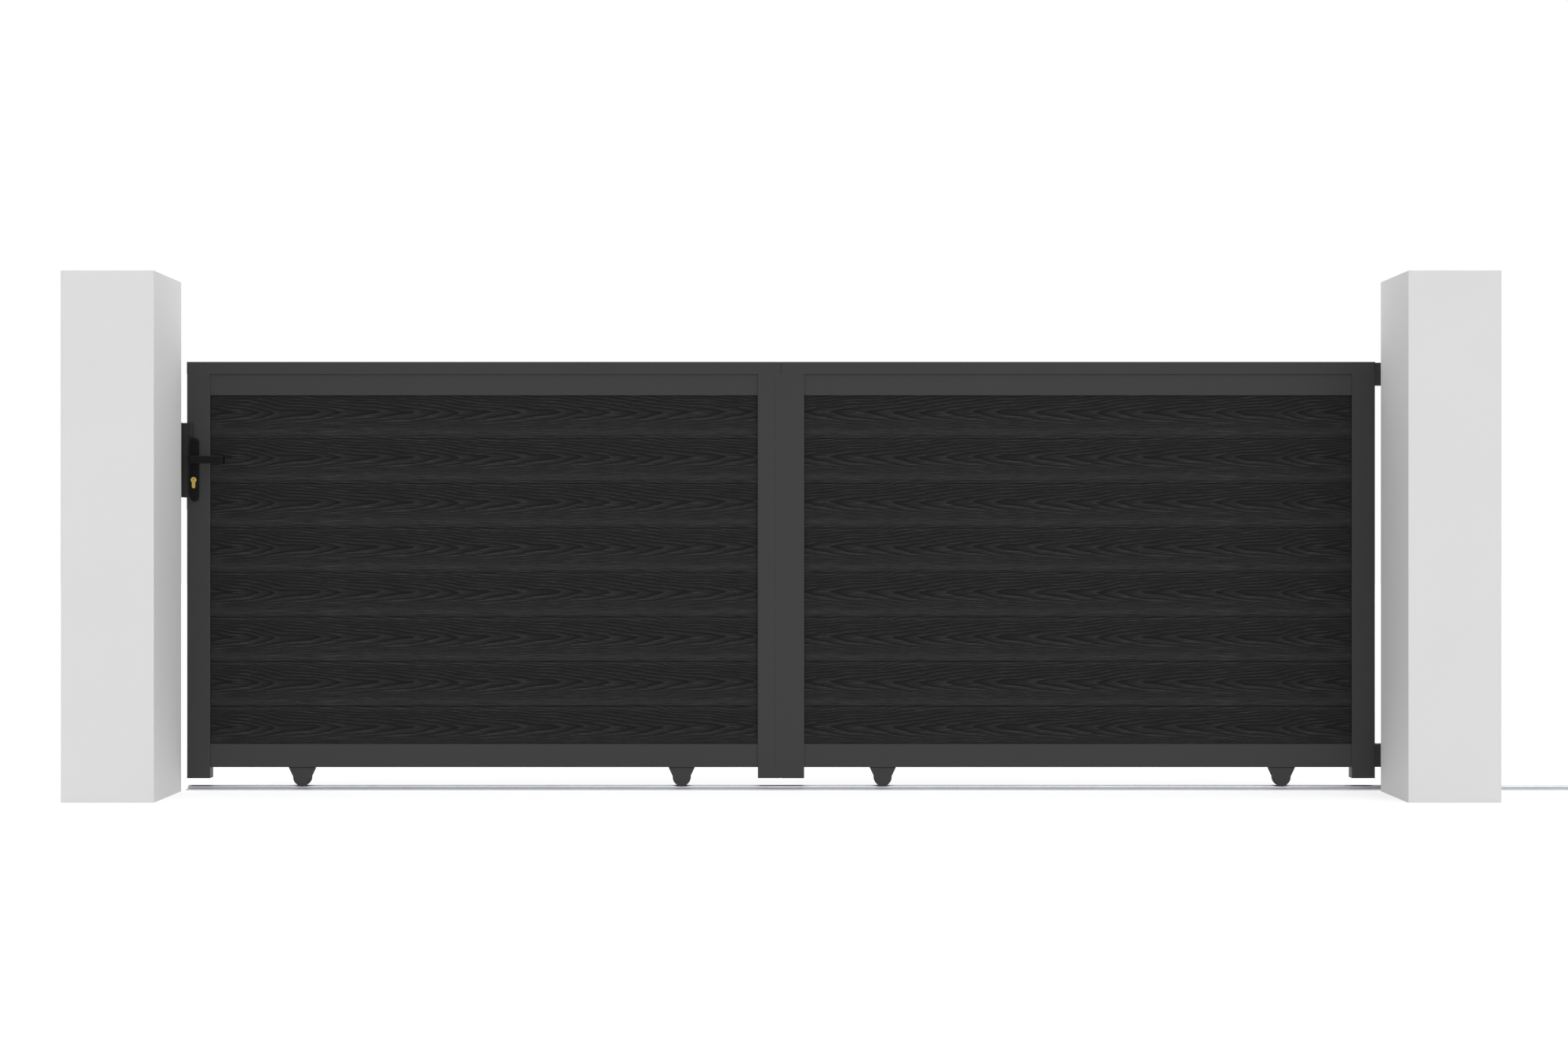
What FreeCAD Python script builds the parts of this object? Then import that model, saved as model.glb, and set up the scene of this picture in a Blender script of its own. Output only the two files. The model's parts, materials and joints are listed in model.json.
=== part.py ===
import FreeCAD, Part
import math
import os
import Sketcher

# Sliding driveway gate: a two-panel leaf of hollow profiles with tongue-and-groove boards,
# running on four grooved wheels along a ground rail behind two masonry pillars.
# Frame: origin at the middle of the left pillar's foot, +X along the gate towards the side
# it opens to, +Y away from the street, +Z up. All sizes are millimetres.

SIZES = {
    # pillars and passage
    "pillar_width": 260,
    "pillar_depth": 280,
    "pillar_height": 1485,
    "pillar_edge": 1,
    "passage": 3500,
    # leaf frame
    "end_gap": 6,
    "leaf_setback": 37,
    "leaf_foot": 34,
    "leaf_top": 1256,
    "stile_width": 68,
    "stile_depth": 40,
    "stile_edge": 3,
    "frame_wall": 2.2,
    "lap_width": 17,
    "lap_thick": 2,
    "cap_height": 36,
    "cap_gap": 2,
    "joint_recess": 1,
    "rail_setback": 4,
    "top_rail_height": 62,
    "bottom_rail_foot": 66,
    "bottom_rail_height": 68,
    "plug_thick": 3,
    "plug_collar": 12,
    "plug_wall": 3,
    "fit_clearance": 0.3,
    # boards
    "board_count": 8,
    "board_thick": 24,
    "board_gap": 0.4,
    "board_bevel": 1.5,
    "board_wall": 1.4,
    "board_end": 10,
    "tongue_thick": 8,
    "tongue_height": 9,
    "bottom_groove_depth": 21,
    "top_groove_lap": 3,
    # tail behind the right pillar
    "tail_length": 340,
    "tail_stile_width": 50,
    "tail_rail_height": 67,
    "tail_drop": 2,
    # wheels and carriers
    "wheel_1_from_lock_end": 336,
    "wheel_2_from_joint": 292,
    "wheel_3_from_joint": 299,
    "wheel_4_from_tail_end": 272,
    "wheel_radius": 26.5,
    "wheel_width": 18,
    "axle_height": 36,
    "axle_radius": 5,
    "axle_clearance": 0.05,
    "axle_nut_flats": 16,
    "axle_nut_height": 6,
    "tread_gap": 0.3,
    "groove_clearance": 0.4,
    "carrier_plate": 3,
    "carrier_side_gap": 1,
    "carrier_top_width": 78,
    "carrier_end_width": 29,
    "carrier_foot": 14.5,
    "carrier_window": 46,
    # ground rail and end stop
    "rail_height": 12.5,
    "rail_bead_radius": 8,
    "rail_sheet": 3,
    "rail_base_width": 60,
    "rail_hole_radius": 3.5,
    "rail_hole_offset": 19,
    "rail_hole_pitch": 640,
    "rail_hole_count": 6,
    "rail_hole_start": 212,
    "run_back_hole_pitch": 560,
    "run_back_length": 3030,
    "stop_from_end": 9,
    "stop_length": 34,
    "stop_height": 60,
    "stop_clearance": 0.4,
    "stop_slope": 30,
    "buffer_radius": 13,
    "buffer_length": 20,
    "buffer_bevel": 4,
    # lock and lever set
    "lock_from_edge": 23,
    "handle_height": 967,
    "lock_centres": 58,
    "plate_over_handle": 65.5,
    "backplate_width": 26,
    "backplate_height": 186,
    "backplate_thick": 9,
    "backplate_edge": 1.5,
    "neck_radius": 9,
    "neck_clearance": 0.08,
    "lever_gap": 0.5,
    "lever_reach": 36,
    "lever_length": 98,
    "lever_heel": 8.5,
    "lever_height": 22,
    "lever_thick": 9,
    "lever_bend": 8,
    "lever_return": 7,
    "lever_edge": 1.5,
    "spindle_size": 8,
    "spindle_depth": 10,
    "spindle_hole_radius": 9,
    "cylinder_radius": 8.5,
    "cylinder_height": 33,
    "cylinder_web": 10,
    "cylinder_proud": 3,
    "cylinder_clearance": 0.2,
    "faceplate_width": 20,
    "faceplate_height": 230,
    "faceplate_thick": 3,
    "faceplate_slot_width": 8,
    "faceplate_slot_height": 36,
    # keeper
    "keeper_under_handle": 109,
    "keeper_height": 218,
    "keeper_thick": 4,
    "keeper_clearance": 5,
    "keeper_end_gap": 9,
    "keeper_cover": 5,
    "keeper_flange": 62,
    "lip_offset": 7,
    "lip_width": 7,
    "lip_rise": 3,
    "lip_web": 2,
    # top guide
    "guide_plate": 6,
    "guide_width": 120,
    "guide_flange": 120,
    "guide_lift": 12,
    "guide_overhang": 16,
    "guide_hole_radius": 5.5,
    "guide_hole_inset": 24,
    "roller_radius": 14,
    "roller_height": 44,
    "roller_gap": 0.5,
    "pin_radius": 5,
    "pin_head_flats": 16,
    "pin_head": 5,
}

doc = FreeCAD.newDocument("sliding_gate")
sheet = doc.addObject("Spreadsheet::Sheet", "sizes")
for row, (alias, number) in enumerate(SIZES.items(), start=1):
    sheet.set(f"A{row}", alias)
    sheet.set(f"B{row}", str(number))
    sheet.setAlias(f"B{row}", alias)
doc.recompute()

# places worked out from the driving sizes, as expressions on the sheet
RIGHT_PILLAR = "(sizes.passage + sizes.pillar_width)"
PILLAR_BACK = "(sizes.pillar_depth / 2)"
LEAF_LEFT = "(sizes.pillar_width / 2 + sizes.end_gap)"
LEAF_RIGHT = "(sizes.pillar_width / 2 + sizes.passage - sizes.end_gap)"
LEAF_JOINT = "(sizes.pillar_width / 2 + sizes.passage / 2)"
LEAF_FRONT = "(sizes.pillar_depth / 2 + sizes.leaf_setback)"
LEAF_MID = "(sizes.pillar_depth / 2 + sizes.leaf_setback + sizes.stile_depth / 2)"
CAP_FOOT = "(sizes.leaf_top - sizes.cap_height)"
TOP_RAIL_FOOT = f"({CAP_FOOT} - sizes.top_rail_height)"
BOTTOM_RAIL_TOP = "(sizes.bottom_rail_foot + sizes.bottom_rail_height)"
BOARDS_FOOT = f"({BOTTOM_RAIL_TOP} - sizes.bottom_groove_depth + sizes.fit_clearance)"
BOARDS_TOP = f"({TOP_RAIL_FOOT} + sizes.top_groove_lap)"
BOARD_PITCH = f"(({BOARDS_TOP} - {BOARDS_FOOT} + sizes.board_gap) / sizes.board_count)"
TONGUE_TOP = f"({BOARDS_TOP} + sizes.tongue_height + sizes.fit_clearance)"
RAIL_DEPTH = "(sizes.stile_depth - 2 * sizes.rail_setback)"
BOARD_SLOT = "(sizes.board_thick + 2 * sizes.fit_clearance)"
TREAD_RADIUS = "(sizes.axle_height - sizes.rail_height - sizes.tread_gap)"
GROOVE_RADIUS = "(sizes.rail_bead_radius + sizes.groove_clearance)"
CARRIER_INSIDE = "(sizes.wheel_width + 2 * sizes.carrier_side_gap)"
CARRIER_DEPTH = f"({CARRIER_INSIDE} + 2 * sizes.carrier_plate)"
WHEEL_PLACES = [
    f"({LEAF_LEFT} + sizes.wheel_1_from_lock_end)",
    f"({LEAF_JOINT} - sizes.wheel_2_from_joint)",
    f"({LEAF_JOINT} + sizes.wheel_3_from_joint)",
    f"({LEAF_RIGHT} - sizes.wheel_4_from_tail_end)",
]
LOCK_X = f"({LEAF_LEFT} + sizes.lock_from_edge)"
CYLINDER_Z = "(sizes.handle_height - sizes.lock_centres)"
TAIL_RIGHT = f"({LEAF_RIGHT} + sizes.tail_length)"

NEAR = 0.01
nodes = []


def value(expression):
    return float(sheet.evalExpression(expression))


def new_body(label, x="0", y="0", z="0"):
    body = doc.addObject("PartDesign::Body", label)
    body.Label = label
    body.AllowCompound = True
    for axis, place in zip("xyz", (x, y, z)):
        body.setExpression("Placement.Base." + axis, place)
    nodes.append(body)
    return body


def origin_part(body, role):
    return next(part for part in body.Origin.OriginFeatures if part.Role == role)


def new_sketch(body, plane, offset="0"):
    sketch = body.newObject("Sketcher::SketchObject", body.Name + "_sketch")
    sketch.AttachmentSupport = (origin_part(body, plane), "")
    sketch.MapMode = "FlatFace"
    sketch.setExpression("AttachmentOffset.Base.z", offset)
    return sketch


def add_loop(sketch, steps):
    # a step (x, y) is a straight edge to that corner; (x, y, cx, cy, turn) is an arc about (cx, cy)
    first = sketch.GeometryCount
    corners = [FreeCAD.Vector(value(step[0]), value(step[1]), 0) for step in steps]
    entry, exit_ = [], []
    for i, step in enumerate(steps):
        start, end = corners[i - 1], corners[i]
        entry.append(1)
        exit_.append(2)
        if len(step) == 2:
            sketch.addGeometry(Part.LineSegment(start, end))
            continue
        centre = FreeCAD.Vector(value(step[2]), value(step[3]), 0)
        if step[4] == "clockwise":
            start, end = end, start
            entry[i], exit_[i] = 2, 1
        angles = [math.atan2(p.y - centre.y, p.x - centre.x) for p in (start, end)]
        circle = Part.Circle(centre, FreeCAD.Vector(0, 0, 1), (start - centre).Length)
        sketch.addGeometry(Part.ArcOfCircle(circle, *angles))
    links, sizes, bound = [], [], []
    for i, step in enumerate(steps):
        edge, after = first + i, first + (i + 1) % len(steps)
        links.append(Sketcher.Constraint("Coincident", edge, exit_[i], after, entry[(i + 1) % len(steps)]))
        places = [("DistanceX", exit_[i], step[0]), ("DistanceY", exit_[i], step[1])]
        if len(step) > 2:
            chord = corners[i] - corners[i - 1]
            level = abs(chord.x) > abs(chord.y)
            places.append(("DistanceY", 3, step[3]) if level else ("DistanceX", 3, step[2]))
        for kind, point, expression in places:
            sizes.append(Sketcher.Constraint(kind, -1, 1, edge, point, value(expression)))
            bound.append(expression)
    sketch.addConstraint(links)
    for index, expression in zip(sketch.addConstraint(sizes), bound):
        sketch.setExpression(f"Constraints[{index}]", expression)


def add_circle(sketch, x, y, radius):
    centre = FreeCAD.Vector(value(x), value(y), 0)
    circle = sketch.addGeometry(Part.Circle(centre, FreeCAD.Vector(0, 0, 1), value(radius)))
    for kind, expression in (("DistanceX", x), ("DistanceY", y)):
        index = sketch.addConstraint(Sketcher.Constraint(kind, -1, 1, circle, 3, value(expression)))
        sketch.setExpression(f"Constraints[{index}]", expression)
    index = sketch.addConstraint(Sketcher.Constraint("Radius", circle, value(radius)))
    sketch.setExpression(f"Constraints[{index}]", radius)


def rectangle(x0, y0, x1, y1):
    return [(x0, y0), (x1, y0), (x1, y1), (x0, y1)]


def inset_rectangle(x0, y0, x1, y1, inset):
    return rectangle(f"({x0} + {inset})", f"({y0} + {inset})", f"({x1} - {inset})", f"({y1} - {inset})")


def rounded(x0, y0, x1, y1, radius):
    left, right = f"({x0} + {radius})", f"({x1} - {radius})"
    low, high = f"({y0} + {radius})", f"({y1} - {radius})"
    return [
        (right, y0),
        (x1, low, right, low, "counter"),
        (x1, high),
        (right, y1, right, high, "counter"),
        (left, y1),
        (x0, high, left, high, "counter"),
        (x0, low),
        (left, y0, left, low, "counter"),
    ]


def feature(body, kind, sketch, length=None, side="One side", back=False):
    made = body.newObject("PartDesign::" + kind, body.Name + "_" + kind.lower())
    made.Profile = sketch
    if length is not None:
        made.setExpression("Length", length)
        made.SideType = side
        made.Reversed = back
    body.Tip = made
    return made


def turn(body, sketch):
    made = feature(body, "Revolution", sketch)
    made.ReferenceAxis = (sketch, ["H_Axis"])
    made.Angle = 360
    return made


def repeat(body, original, axis, pitch, count):
    made = body.newObject("PartDesign::LinearPattern", body.Name + "_row")
    made.Originals = [original]
    made.Direction = (origin_part(body, axis), [""])
    made.Mode = "Spacing"
    made.setExpression("Offset", pitch)
    made.setExpression("Occurrences", count)
    body.Tip = made
    return made


def soften_edges(body, kind, base, size, chosen):
    doc.recompute()
    names = [f"Edge{i}" for i, edge in enumerate(base.Shape.Edges, start=1) if chosen(edge)]
    made = body.newObject("PartDesign::" + kind, body.Name + "_" + kind.lower())
    made.Base = (base, names)
    made.setExpression("Radius" if kind == "Fillet" else "Size", size)
    body.Tip = made
    return made


def hexagon(x, y, flats):
    # a nut's outline with two corners on the level line through its middle
    reach, half = f"({flats} / sqrt(3))", f"({flats} / 2)"
    right, left = f"({x} + {reach} / 2)", f"({x} - {reach} / 2)"
    low, high = f"({y} - {half})", f"({y} + {half})"
    return [
        (f"({x} + {reach})", y),
        (right, high),
        (left, high),
        (f"({x} - {reach})", y),
        (left, low),
        (right, low),
    ]


# pillars: plain rendered prisms with slightly broken edges
def make_pillar(label, x):
    body = new_body(label, x)
    sketch = new_sketch(body, "XY_Plane")
    half_x, half_y = "sizes.pillar_width / 2", "sizes.pillar_depth / 2"
    add_loop(sketch, rectangle(f"-{half_x}", f"-{half_y}", half_x, half_y))
    block = feature(body, "Pad", sketch, "sizes.pillar_height")
    soften_edges(body, "Chamfer", block, "sizes.pillar_edge", lambda edge: edge.BoundBox.ZMax > NEAR)


# ground rail: omega section, two flanges and a half-round bead, drilled in pairs for anchors
def make_rail(label, x, length, hole_start, hole_pitch):
    body = new_body(label, x, LEAF_MID)
    sketch = new_sketch(body, "YZ_Plane")
    base, bead, sheet_in = "sizes.rail_base_width / 2", "sizes.rail_bead_radius", "sizes.rail_sheet"
    inner = f"({bead} - {sheet_in})"
    spring = f"(sizes.rail_height - {bead})"
    add_loop(sketch, [
        (f"-{base}", "0"),
        (f"-{inner}", "0"),
        (f"-{inner}", spring),
        (inner, spring, "0", spring, "clockwise"),
        (inner, "0"),
        (base, "0"),
        (base, sheet_in),
        (bead, sheet_in),
        (bead, spring),
        (f"-{bead}", spring, "0", spring, "counter"),
        (f"-{bead}", sheet_in),
        (f"-{base}", sheet_in),
    ])
    feature(body, "Pad", sketch, length)
    holes = new_sketch(body, "XY_Plane", sheet_in)
    for side in ("-", ""):
        add_circle(holes, hole_start, f"{side}sizes.rail_hole_offset", "sizes.rail_hole_radius")
    cut = feature(body, "Pocket", holes, f"2 * {sheet_in}", "Symmetric")
    repeat(body, cut, "X_Axis", hole_pitch, "sizes.rail_hole_count")


# end stop: a saddle over the bead at the rail's far end, sloped at the back, with a rubber buffer
# that the last wheel carrier meets when the gate is open
STOP_SPAN = "(sizes.stop_length + sizes.stop_slope)"
STOP_FACE = f"({RIGHT_PILLAR} + sizes.run_back_length - sizes.stop_from_end - {STOP_SPAN})"


def make_end_stop():
    body = new_body("end_stop", STOP_FACE, LEAF_MID)
    half = "sizes.rail_base_width / 2"
    side = new_sketch(body, "XZ_Plane")
    add_loop(side, [
        (STOP_SPAN, "sizes.rail_sheet"),
        (STOP_SPAN, "2 * sizes.rail_sheet"),
        ("sizes.stop_length", "sizes.stop_height"),
        ("0", "sizes.stop_height"),
        ("0", "sizes.rail_sheet"),
    ])
    feature(body, "Pad", side, f"2 * {half}", "Symmetric")
    saddle = new_sketch(body, "YZ_Plane")
    bead = "(sizes.rail_bead_radius + sizes.stop_clearance)"
    spring = "(sizes.rail_height - sizes.rail_bead_radius)"
    add_loop(saddle, [
        (bead, "0"),
        (bead, spring),
        (f"-{bead}", spring, "0", spring, "counter"),
        (f"-{bead}", "0"),
    ])
    feature(body, "Pocket", saddle, f"2 * {STOP_SPAN}", "Symmetric")
    buffer = new_body("end_stop_buffer", STOP_FACE, LEAF_MID, "(sizes.rail_height + sizes.stop_height) / 2")
    profile = new_sketch(buffer, "XY_Plane")
    radius, bevel = "sizes.buffer_radius", "sizes.buffer_bevel"
    add_loop(profile, [
        ("0", radius),
        (f"-(sizes.buffer_length - {bevel})", radius),
        ("-sizes.buffer_length", f"({radius} - {bevel})"),
        ("-sizes.buffer_length", "0"),
        ("0", "0"),
    ])
    turn(buffer, profile)


# keeper: bent channel screwed to the left pillar's back, with arms either side of the lock stile
KEEPER_WEB = f"({LEAF_LEFT} - sizes.keeper_end_gap)"
KEEPER_FOOT = "(sizes.handle_height - sizes.keeper_under_handle)"


def make_keeper():
    body = new_body("keeper", KEEPER_WEB, PILLAR_BACK, KEEPER_FOOT)
    thick = "sizes.keeper_thick"
    reach = "(sizes.keeper_end_gap + sizes.keeper_cover)"
    front = "(sizes.leaf_setback - sizes.keeper_clearance)"
    back = "(sizes.leaf_setback + sizes.stile_depth + sizes.keeper_clearance)"
    channel = new_sketch(body, "XY_Plane")
    add_loop(channel, [
        ("0", "0"),
        ("0", f"({front} - {thick})"),
        (reach, f"({front} - {thick})"),
        (reach, front),
        ("0", front),
        ("0", back),
        (reach, back),
        (reach, f"({back} + {thick})"),
        (f"-{thick}", f"({back} + {thick})"),
        (f"-{thick}", thick),
        ("-sizes.keeper_flange", thick),
        ("-sizes.keeper_flange", "0"),
    ])
    feature(body, "Pad", channel, "sizes.keeper_height")
    # lead-in lips stand above the backplates only
    lip_foot = "(sizes.keeper_under_handle + sizes.plate_over_handle + sizes.keeper_clearance)"
    lips = new_sketch(body, "XY_Plane", lip_foot)
    bead_start = f"({reach} + sizes.lip_offset)"
    bead_end = f"({bead_start} + sizes.lip_width)"
    for inner, web, outer in (
        (front, f"({front} - sizes.lip_web)", f"({front} - sizes.lip_web - sizes.lip_rise)"),
        (back, f"({back} + sizes.lip_web)", f"({back} + sizes.lip_web + sizes.lip_rise)"),
    ):
        add_loop(lips, [
            (reach, inner),
            (bead_end, inner),
            (bead_end, outer),
            (bead_start, outer),
            (bead_start, web),
            (reach, web),
        ])
    feature(body, "Pad", lips, f"sizes.keeper_height - {lip_foot}")
    # slot for the hook bolt, opposite the faceplate's slot
    slot = new_sketch(body, "YZ_Plane")
    middle = "(sizes.leaf_setback + sizes.stile_depth / 2)"
    half = "(sizes.faceplate_slot_width / 2 + sizes.keeper_clearance)"
    slot_mid = "(sizes.keeper_under_handle - sizes.lock_centres / 2)"
    slot_half = "(sizes.faceplate_slot_height / 2 + sizes.keeper_clearance)"
    add_loop(slot, rectangle(f"({middle} - {half})", f"({slot_mid} - {slot_half})",
                             f"({middle} + {half})", f"({slot_mid} + {slot_half})"))
    feature(body, "Pocket", slot, f"2 * {thick}", "Symmetric")


# top guide: an angle on the right pillar's back carries two rollers astride the leaf's cap
ROLLER_Y = "(sizes.stile_depth / 2 + sizes.roller_gap + sizes.roller_radius)"
ARM_Z = "(sizes.leaf_top + sizes.guide_lift)"


def make_guide():
    body = new_body("guide_bracket", RIGHT_PILLAR, PILLAR_BACK, ARM_Z)
    plate = "sizes.guide_plate"
    middle = f"({LEAF_MID} - {PILLAR_BACK})"
    arm_end = f"({middle} + {ROLLER_Y} + sizes.guide_overhang)"
    bend = f"(2 * {plate})"
    angle = new_sketch(body, "YZ_Plane")
    add_loop(angle, [
        (arm_end, "0"),
        (arm_end, plate),
        (bend, plate),
        (plate, bend, bend, bend, "clockwise"),
        (plate, "sizes.guide_flange"),
        ("0", "sizes.guide_flange"),
        ("0", bend),
        (bend, "0", bend, bend, "counter"),
    ])
    feature(body, "Pad", angle, "sizes.guide_width", "Symmetric")
    pins = new_sketch(body, "XY_Plane")
    for side in ("-", "+"):
        add_circle(pins, "0", f"({middle} {side} {ROLLER_Y})", "sizes.pin_radius + sizes.axle_clearance")
    feature(body, "Pocket", pins, f"4 * {plate}", "Symmetric")
    holes = new_sketch(body, "XZ_Plane")
    across = "(sizes.guide_width / 2 - sizes.guide_hole_inset)"
    high = "(sizes.guide_flange - sizes.guide_hole_inset)"
    low = "(2 * sizes.guide_hole_inset)"
    for x in (f"-{across}", across):
        for z in (low, high):
            add_circle(holes, x, z, "sizes.guide_hole_radius")
    feature(body, "Pocket", holes, f"4 * {plate}", "Symmetric")

    roller_top = "sizes.leaf_top"
    rollers = new_body("guide_rollers", RIGHT_PILLAR, LEAF_MID, roller_top)
    pin_body = new_body("guide_pins", RIGHT_PILLAR, LEAF_MID, ARM_Z)
    bore = "(sizes.pin_radius + sizes.axle_clearance)"
    for side in ("-", ""):
        at = f"({side}{ROLLER_Y})"
        disc = new_sketch(rollers, "XY_Plane", "-sizes.roller_height")
        add_circle(disc, "0", at, "sizes.roller_radius")
        add_circle(disc, "0", at, bore)
        feature(rollers, "Pad", disc, "sizes.roller_height")
        # collar between arm and roller, shank through both, nut on the arm, head under the roller
        shank = new_sketch(pin_body, "XY_Plane", plate)
        add_circle(shank, "0", at, "sizes.pin_radius")
        feature(pin_body, "Pad", shank, f"{plate} + sizes.guide_lift + sizes.roller_height", back=True)
        collar = new_sketch(pin_body, "XY_Plane")
        add_loop(collar, hexagon("0", at, "sizes.pin_head_flats"))
        feature(pin_body, "Pad", collar, "sizes.guide_lift", back=True)
        nut = new_sketch(pin_body, "XY_Plane", plate)
        add_loop(nut, hexagon("0", at, "sizes.pin_head_flats"))
        feature(pin_body, "Pad", nut, "sizes.pin_head")
        head = new_sketch(pin_body, "XY_Plane", "-(sizes.guide_lift + sizes.roller_height)")
        add_loop(head, hexagon("0", at, "sizes.pin_head_flats"))
        feature(pin_body, "Pad", head, "sizes.pin_head", back=True)


# stiles: hollow profiles, slotted in the inner wall for the boards' ends
STILE_FOOT = "(sizes.leaf_foot + sizes.plug_thick)"


def make_stile(label, x, slot_side, lap=None):
    body = new_body(label, x, LEAF_MID, STILE_FOOT)
    half, width, wall = "sizes.stile_depth / 2", "sizes.stile_width", "sizes.frame_wall"
    section = new_sketch(body, "XY_Plane")
    step = "(sizes.lap_thick + sizes.fit_clearance)"
    step_width = "(sizes.lap_width + sizes.fit_clearance)"
    if lap == "rebate":
        outline = [
            (f"({width} - {step_width})", f"-{half}"),
            (f"({width} - {step_width})", f"({step} - {half})"),
            (width, f"({step} - {half})"),
            (width, half),
            ("0", half),
            ("0", f"-{half}"),
        ]
        low = f"({step} + {wall} - {half})"
    elif lap == "lip":
        outline = [
            ("-sizes.lap_width", f"-{half}"),
            (width, f"-{half}"),
            (width, half),
            ("0", half),
            ("0", f"(sizes.lap_thick - {half})"),
            ("-sizes.lap_width", f"(sizes.lap_thick - {half})"),
        ]
        low = f"({wall} - {half})"
    else:
        outline = rounded("0", f"-{half}", width, half, "sizes.stile_edge")
        low = f"({wall} - {half})"
    add_loop(section, outline)
    add_loop(section, rectangle(wall, low, f"({width} - {wall})", f"({half} - {wall})"))
    feature(body, "Pad", section, f"{CAP_FOOT} - {STILE_FOOT}")
    slot = new_sketch(body, "YZ_Plane", wall if slot_side == "left" else width)
    slot_foot = f"({BOTTOM_RAIL_TOP} - sizes.bottom_groove_depth - {STILE_FOOT})"
    slot_top = f"({TONGUE_TOP} - {STILE_FOOT})"
    add_loop(slot, rectangle(f"-{BOARD_SLOT} / 2", slot_foot, f"{BOARD_SLOT} / 2", slot_top))
    feature(body, "Pocket", slot, wall)
    return body


def cut_lock_holes(body):
    half = "sizes.stile_depth / 2"
    holes = new_sketch(body, "XZ_Plane")
    lever_z = f"(sizes.handle_height - {STILE_FOOT})"
    add_circle(holes, "sizes.lock_from_edge", lever_z, "sizes.spindle_hole_radius")
    add_loop(holes, cylinder_outline("sizes.lock_from_edge", f"({CYLINDER_Z} - {STILE_FOOT})",
                                     "sizes.cylinder_clearance"))
    feature(body, "Pocket", holes, f"4 * {half}", "Symmetric")
    # mortice for the lock case's hook in the stile's edge
    mortice = new_sketch(body, "YZ_Plane", "sizes.frame_wall")
    mid = f"((sizes.handle_height + {CYLINDER_Z}) / 2 - {STILE_FOOT})"
    wide, high = "sizes.faceplate_slot_width / 2", "sizes.faceplate_slot_height / 2"
    add_loop(mortice, rectangle(f"-{wide}", f"({mid} - {high})", wide, f"({mid} + {high})"))
    feature(body, "Pocket", mortice, "sizes.frame_wall")


def cylinder_outline(x, z, clearance):
    # keyhole-shaped section of a profile cylinder: a round plug over a narrower round-ended web
    plug = f"(sizes.cylinder_radius + {clearance})"
    web = f"(sizes.cylinder_web / 2 + {clearance})"
    drop = "(sizes.cylinder_height - sizes.cylinder_radius - sizes.cylinder_web / 2)"
    meet = f"sqrt({plug} ^ 2 - {web} ^ 2)"
    return [
        (f"({x} + {web})", f"({z} - {meet})"),
        (f"({x} - {web})", f"({z} - {meet})", x, z, "counter"),
        (f"({x} - {web})", f"({z} - {drop})"),
        (f"({x} + {web})", f"({z} - {drop})", x, f"({z} - {drop})", "counter"),
    ]


# caps and rails of the two panels
def make_panel(side, left, right, wheels):
    cap = new_body(f"{side}_top_cap", left["cap"], LEAF_MID, CAP_FOOT)
    half, wall, high = "sizes.stile_depth / 2", "sizes.frame_wall", "sizes.cap_height"
    edge = "sizes.stile_edge"
    section = new_sketch(cap, "YZ_Plane")
    add_loop(section, [
        (half, "0"),
        (half, f"({high} - {edge})"),
        (f"({half} - {edge})", high, f"({half} - {edge})", f"({high} - {edge})", "counter"),
        (f"-({half} - {edge})", high),
        (f"-{half}", f"({high} - {edge})", f"-({half} - {edge})", f"({high} - {edge})", "counter"),
        (f"-{half}", "0"),
    ])
    add_loop(section, rectangle(f"-({half} - {wall})", wall, f"({half} - {wall})", f"({high} - {wall})"))
    feature(cap, "Pad", section, f"{right['cap']} - {left['cap']}")

    deep, slot = f"{RAIL_DEPTH} / 2", f"{BOARD_SLOT} / 2"
    length = f"{right['frame']} - {left['frame']}"
    top = new_body(f"{side}_top_rail", left["frame"], LEAF_MID, TOP_RAIL_FOOT)
    groove = f"({TONGUE_TOP} - {TOP_RAIL_FOOT})"
    high = "sizes.top_rail_height"
    section = new_sketch(top, "YZ_Plane")
    add_loop(section, [
        (deep, "0"), (deep, high), (f"-{deep}", high), (f"-{deep}", "0"),
        (f"-{slot}", "0"), (f"-{slot}", groove), (slot, groove), (slot, "0"),
    ])
    add_loop(section, rectangle(f"-({deep} - {wall})", f"({groove} + {wall})",
                                f"({deep} - {wall})", f"({high} - {wall})"))
    feature(top, "Pad", section, length)

    bottom = new_body(f"{side}_bottom_rail", left["frame"], LEAF_MID, "sizes.bottom_rail_foot")
    high = "sizes.bottom_rail_height"
    floor = f"({high} - sizes.bottom_groove_depth)"
    section = new_sketch(bottom, "YZ_Plane")
    add_loop(section, [
        (deep, "0"), (deep, high), (slot, high), (slot, floor),
        (f"-{slot}", floor), (f"-{slot}", high), (f"-{deep}", high), (f"-{deep}", "0"),
    ])
    add_loop(section, rectangle(f"-({deep} - {wall})", wall, f"({deep} - {wall})", f"({floor} - {wall})"))
    feature(bottom, "Pad", section, length)
    windows = new_sketch(bottom, "XY_Plane")
    for wheel in wheels:
        add_loop(windows, rectangle(
            f"({wheel} - {left['frame']} - sizes.carrier_window / 2)", f"-{CARRIER_INSIDE} / 2",
            f"({wheel} - {left['frame']} + sizes.carrier_window / 2)", f"{CARRIER_INSIDE} / 2"))
    feature(bottom, "Pocket", windows, f"2 * {wall}", "Symmetric")

    make_boards(f"{side}_boards", f"({left['frame']} - sizes.board_end)", f"{length} + 2 * sizes.board_end")


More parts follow.
